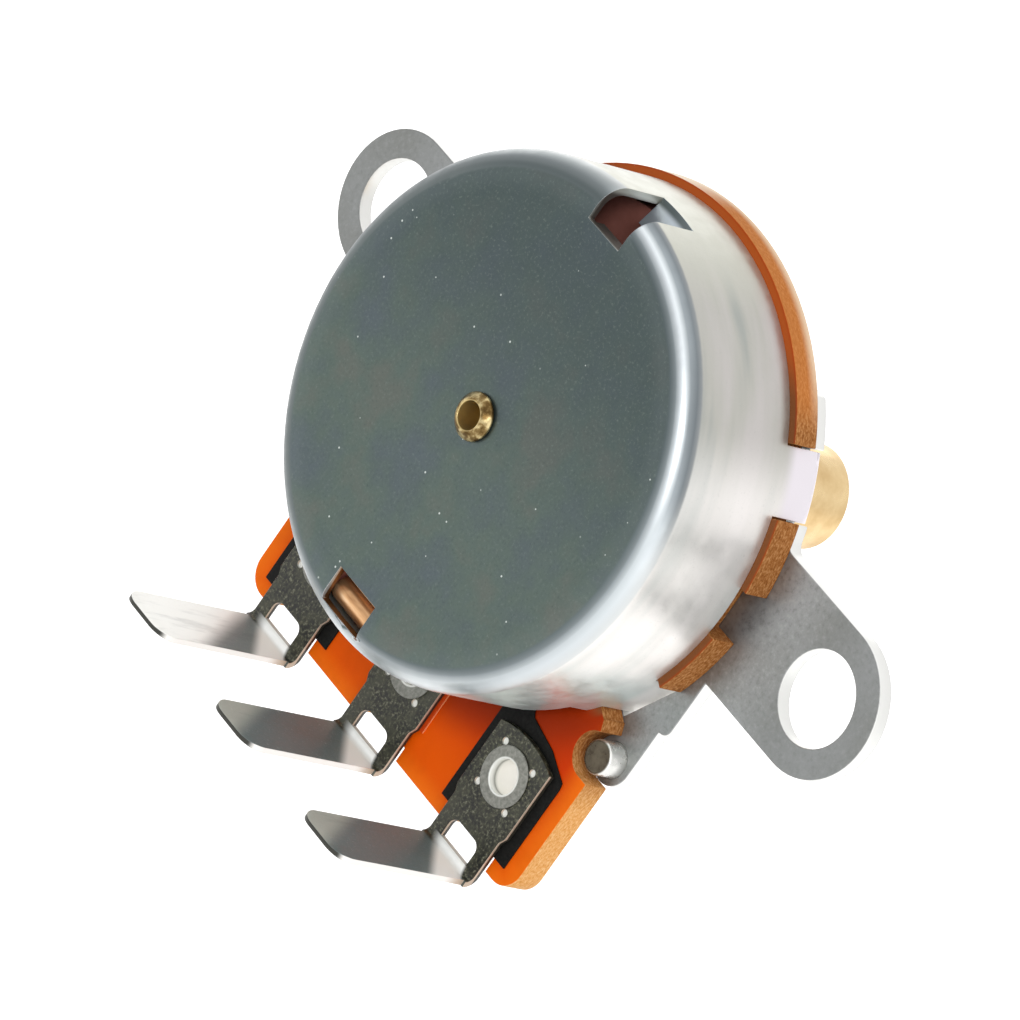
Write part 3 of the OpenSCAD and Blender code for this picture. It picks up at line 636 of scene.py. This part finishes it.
def moulded_phenolic():
    """Red brown moulded rotor, painted lighter than its own colour to stand in for light through
    the can's windows, with a faintly pitted skin.
    """
    f = Finish("moulded_phenolic", 0.5, Specular_IOR_Level=0.3)
    cloud = f.noise(1.2, 3.0, 0.6)
    f.set("Base Color", f.ramp(cloud, (0.3, srgb(160, 100, 88)), (0.7, srgb(184, 120, 108))))
    f.set("Roughness", f.step(cloud, 0.3, 0.7, 0.42, 0.6))
    f.bump(f.noise(0.2, 2.0, 0.5), 0.008)
    return f.material


def carbon_ink():
    """Matte black resistive ink with a dry grain."""
    f = Finish("carbon_ink", 0.6, Specular_IOR_Level=0.12)
    grain = f.noise(0.15, 3.0, 0.6)
    f.set("Base Color", f.ramp(grain, (0.35, srgb(10, 10, 9)), (0.7, srgb(26, 26, 24))))
    f.bump(grain, 0.004)
    return f.material


def collector_ink():
    """Silver ink under the rotor, coated with the board's orange resin on the tail."""
    f = Finish("collector_ink", 0.4, Specular_IOR_Level=0.3)
    grain = f.noise(0.15, 3.0, 0.6)
    silver = f.ramp(grain, (0.35, srgb(146, 142, 130)), (0.7, srgb(190, 188, 178)))
    z = f.split(f.position())[2]
    coat = f.mix(f.step(f.across_y(), 0.5, 0.9), srgb(240, 160, 110), srgb(206, 66, 4))
    f.set("Base Color", f.mix(f.step(z, -CAN_RADIUS + 0.6 * MM, -CAN_RADIUS), silver, coat))
    f.bump(grain, 0.004)
    return f.material


# Blade, with painted reflections: its colour at the root, its colour at the tip, and where the
# second begins. The bright copy paints a reflection of white surroundings, the grey one a
# reflection of the board
GREY_REFLECTION_TIN = (srgb(102, 114, 114), srgb(174, 174, 164), BLADE_TIP - 0.9 * MM)
BRIGHT_REFLECTION_TIN = (srgb(130, 136, 135), srgb(250, 249, 244), LUG_BACK + 3.1 * MM)

MATERIALS = {
    "can": zinc_can(),
    "plate": zinc_plate(),
    "board": phenolic_board(),
    "tin_bright_reflection": tinned_brass("tin_bright_reflection", *BRIGHT_REFLECTION_TIN),
    "tin_grey_reflection": tinned_brass("tin_grey_reflection", *GREY_REFLECTION_TIN),
    "eyelet": eyelet_tin(),
    "pin": pin_steel(),
    "steel": plain_metal("steel", srgb(140, 140, 138), srgb(180, 180, 178), 0.35),
    "brass": plain_metal("brass", BRASS_DARK, BRASS_LIGHT, 0.3, grain=0.2, depth=0.003),
    "turned_brass": turned_brass(),
    "spring": phosphor_bronze(),
    "rotor": moulded_phenolic(),
    "carbon": carbon_ink(),
    "collector": collector_ink(),
    "contact": plain_metal("silver_contact", srgb(180, 178, 170), srgb(214, 212, 206), 0.3),
}


# ---------------------------------------------------------------- pieces


def body_of(node):
    """Name of the CAD body that a node belongs to."""
    groups = frame["record"]["behaviour"]["bodies"]
    return next(body for body, members in groups.items() if node in members)


def merged_mesh(node):
    """Copy of a CAD node's mesh with shared corners and whole flat faces."""
    mesh = frame["nodes"][node].data.copy()
    work = bmesh.new()
    work.from_mesh(mesh)
    bmesh.ops.remove_doubles(work, verts=work.verts, dist=WELD_DISTANCE)
    bmesh.ops.dissolve_limit(work, angle_limit=LEVEL_ANGLE, verts=work.verts, edges=work.edges)
    for face in work.faces:
        face.smooth = True
    work.to_mesh(mesh)
    work.free()
    # The CAD mesh's own normals don't fit its merged faces
    if "custom_normal" in mesh.attributes:
        mesh.attributes.remove(mesh.attributes["custom_normal"])
    return mesh


def finished(node, material, edge):
    """Piece that stands for a CAD node, its sharp edges rounded over to that width in MM."""
    mesh = merged_mesh(node)
    mesh.materials.clear()
    mesh.materials.append(MATERIALS[material])
    piece = bpy.data.objects.new(f"{node}_finished", mesh)
    bpy.context.scene.collection.objects.link(piece)
    bevel = piece.modifiers.new("rounded_edges", "BEVEL")
    bevel.width = edge * MM
    bevel.segments = ROUNDED_SEGMENTS
    bevel.limit_method = "ANGLE"
    bevel.angle_limit = ROUNDED_ANGLE
    bevel.use_clamp_overlap = False
    normals = piece.modifiers.new("flat_faces", "WEIGHTED_NORMAL")
    normals.keep_sharp = False
    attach(piece, body_of(node))
    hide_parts(node)


def paint(node, material):
    """Gives a CAD node that stays as it is its material."""
    materials = frame["nodes"][node].data.materials
    materials.clear()
    materials.append(MATERIALS[material])


finished("can", "can", 0.015)
finished("mounting_plate", "plate", 0.07)
finished("base_board", "board", 0.05)
finished("terminal_left", "tin_bright_reflection", 0.03)
for side in ("middle", "right"):
    finished(f"terminal_{side}", "tin_grey_reflection", 0.03)
finished("terminal_eyelets", "eyelet", 0.045)
finished("locating_pins", "pin", 0.05)
finished("shaft", "turned_brass", 0.05)
finished("bushing", "brass", 0.06)
finished("rotor", "rotor", 0.05)
finished("wiper_spring", "spring", 0.02)
finished("resistive_track", "carbon", 0.02)
paint("collector_track", "collector")
finished("retaining_ring", "steel", 0.04)
finished("front_washer", "steel", 0.04)
paint("thrust_washer", "steel")
paint("spring_washer", "steel")
paint("wiper_contacts", "contact")
paint("wiper_rivets", "brass")


# ---------------------------------------------------------------- stage, light and camera


def place_camera():
    """Rolled camera with a long lens. Gives its directions to the right, up and back."""
    azimuth, elevation = CAMERA_AZIMUTH, CAMERA_ELEVATION
    back = Vector(
        (
            math.sin(azimuth) * math.cos(elevation),
            math.cos(azimuth) * math.cos(elevation),
            math.sin(elevation),
        )
    )
    level = Vector((0, 0, 1)).cross(back).normalized()
    upright = back.cross(level)
    right = level * math.cos(CAMERA_ROLL) + upright * math.sin(CAMERA_ROLL)
    up = upright * math.cos(CAMERA_ROLL) - level * math.sin(CAMERA_ROLL)
    data = bpy.data.cameras.new("camera")
    data.lens = CAMERA_LENS
    data.sensor_width = CAMERA_SENSOR
    data.clip_start = CAMERA_NEAR
    data.clip_end = CAMERA_FAR
    camera = bpy.data.objects.new("camera", data)
    axes = Matrix((right, up, back)).transposed().to_4x4()
    camera.matrix_world = Matrix.Translation(CAMERA_AIM + back * CAMERA_DISTANCE) @ axes
    bpy.context.scene.collection.objects.link(camera)
    bpy.context.scene.camera = camera
    return right, up, back


def seen_directly(nodes, links):
    """1 for camera, glossy and transmission rays, and 0 for the rays that light the object."""
    path = nodes.new("ShaderNodeLightPath")
    total = path.outputs["Is Camera Ray"]
    for name in ("Is Glossy Ray", "Is Transmission Ray"):
        node = nodes.new("ShaderNodeMath")
        node.operation = "MAXIMUM"
        links.new(total, node.inputs[0])
        links.new(path.outputs[name], node.inputs[1])
        total = node.outputs[0]
    return total


def white_world():
    """White surroundings for what sees them directly, and a weaker fill light."""
    world = bpy.data.worlds.new("world")
    bpy.context.scene.world = world
    world.use_nodes = True
    nodes, links = world.node_tree.nodes, world.node_tree.links
    background = nodes["Background"]
    background.inputs["Color"].default_value = WHITE
    strength = nodes.new("ShaderNodeMapRange")
    strength.inputs["To Min"].default_value = WORLD_FILL
    strength.inputs["To Max"].default_value = 1.0
    links.new(seen_directly(nodes, links), strength.inputs["Value"])
    links.new(strength.outputs[0], background.inputs["Strength"])


def pale_floor():
    """White floor under the object, which keeps a soft shadow."""
    mesh = bpy.data.meshes.new("floor")
    work = bmesh.new()
    bmesh.ops.create_circle(
        work, cap_ends=True, segments=FLOOR_SEGMENTS, radius=FLOOR_RADIUS
    )
    work.to_mesh(mesh)
    work.free()
    floor = bpy.data.objects.new("floor", mesh)
    floor.location.z = cad_low.z - FLOOR_DROP
    bpy.context.scene.collection.objects.link(floor)
    material = bpy.data.materials.new("floor")
    material.use_nodes = True
    nodes, links = material.node_tree.nodes, material.node_tree.links
    shader = nodes["Principled BSDF"]
    shader.inputs["Base Color"].default_value = FLOOR_COLOUR
    shader.inputs["Roughness"].default_value = FLOOR_ROUGHNESS
    shader.inputs["Emission Color"].default_value = WHITE
    glow = nodes.new("ShaderNodeMath")
    glow.operation = "MULTIPLY"
    glow.inputs[1].default_value = FLOOR_GLOW
    links.new(seen_directly(nodes, links), glow.inputs[0])
    links.new(glow.outputs[0], shader.inputs["Emission Strength"])
    mesh.materials.append(material)


def softbox(name, direction, distance, size, power):
    """Square area lamp that points at the object. Its distance and size are in MM."""
    data = bpy.data.lights.new(name, "AREA")
    data.size = size * MM
    data.energy = power
    lamp = bpy.data.objects.new(name, data)
    lamp.location = CAMERA_AIM + direction.normalized() * distance * MM
    lamp.rotation_mode = "QUATERNION"
    lamp.rotation_quaternion = direction.to_track_quat("Z", "Y")
    bpy.context.scene.collection.objects.link(lamp)


def light_studio(right, up, back):
    """Wide key lamp above, a small one beside the camera, one on the side of -X, one in front."""
    above = up * 0.9 + back * 0.5 + right * 0.4
    beside_camera = back + up * 0.12 + right * 0.05
    aside = Vector((-1.0, 0.25, 0.12))
    in_front = up * 0.6 - back
    softbox("key", above, distance=700, size=700, power=1.1)
    softbox("beside_camera", beside_camera, distance=440, size=100, power=0.4)
    softbox("side", aside, distance=600, size=400, power=0.6)
    softbox("front", in_front, distance=520, size=500, power=0.5)


white_world()
pale_floor()
light_studio(*place_camera())
bpy.context.scene.view_settings.view_transform = "Standard"
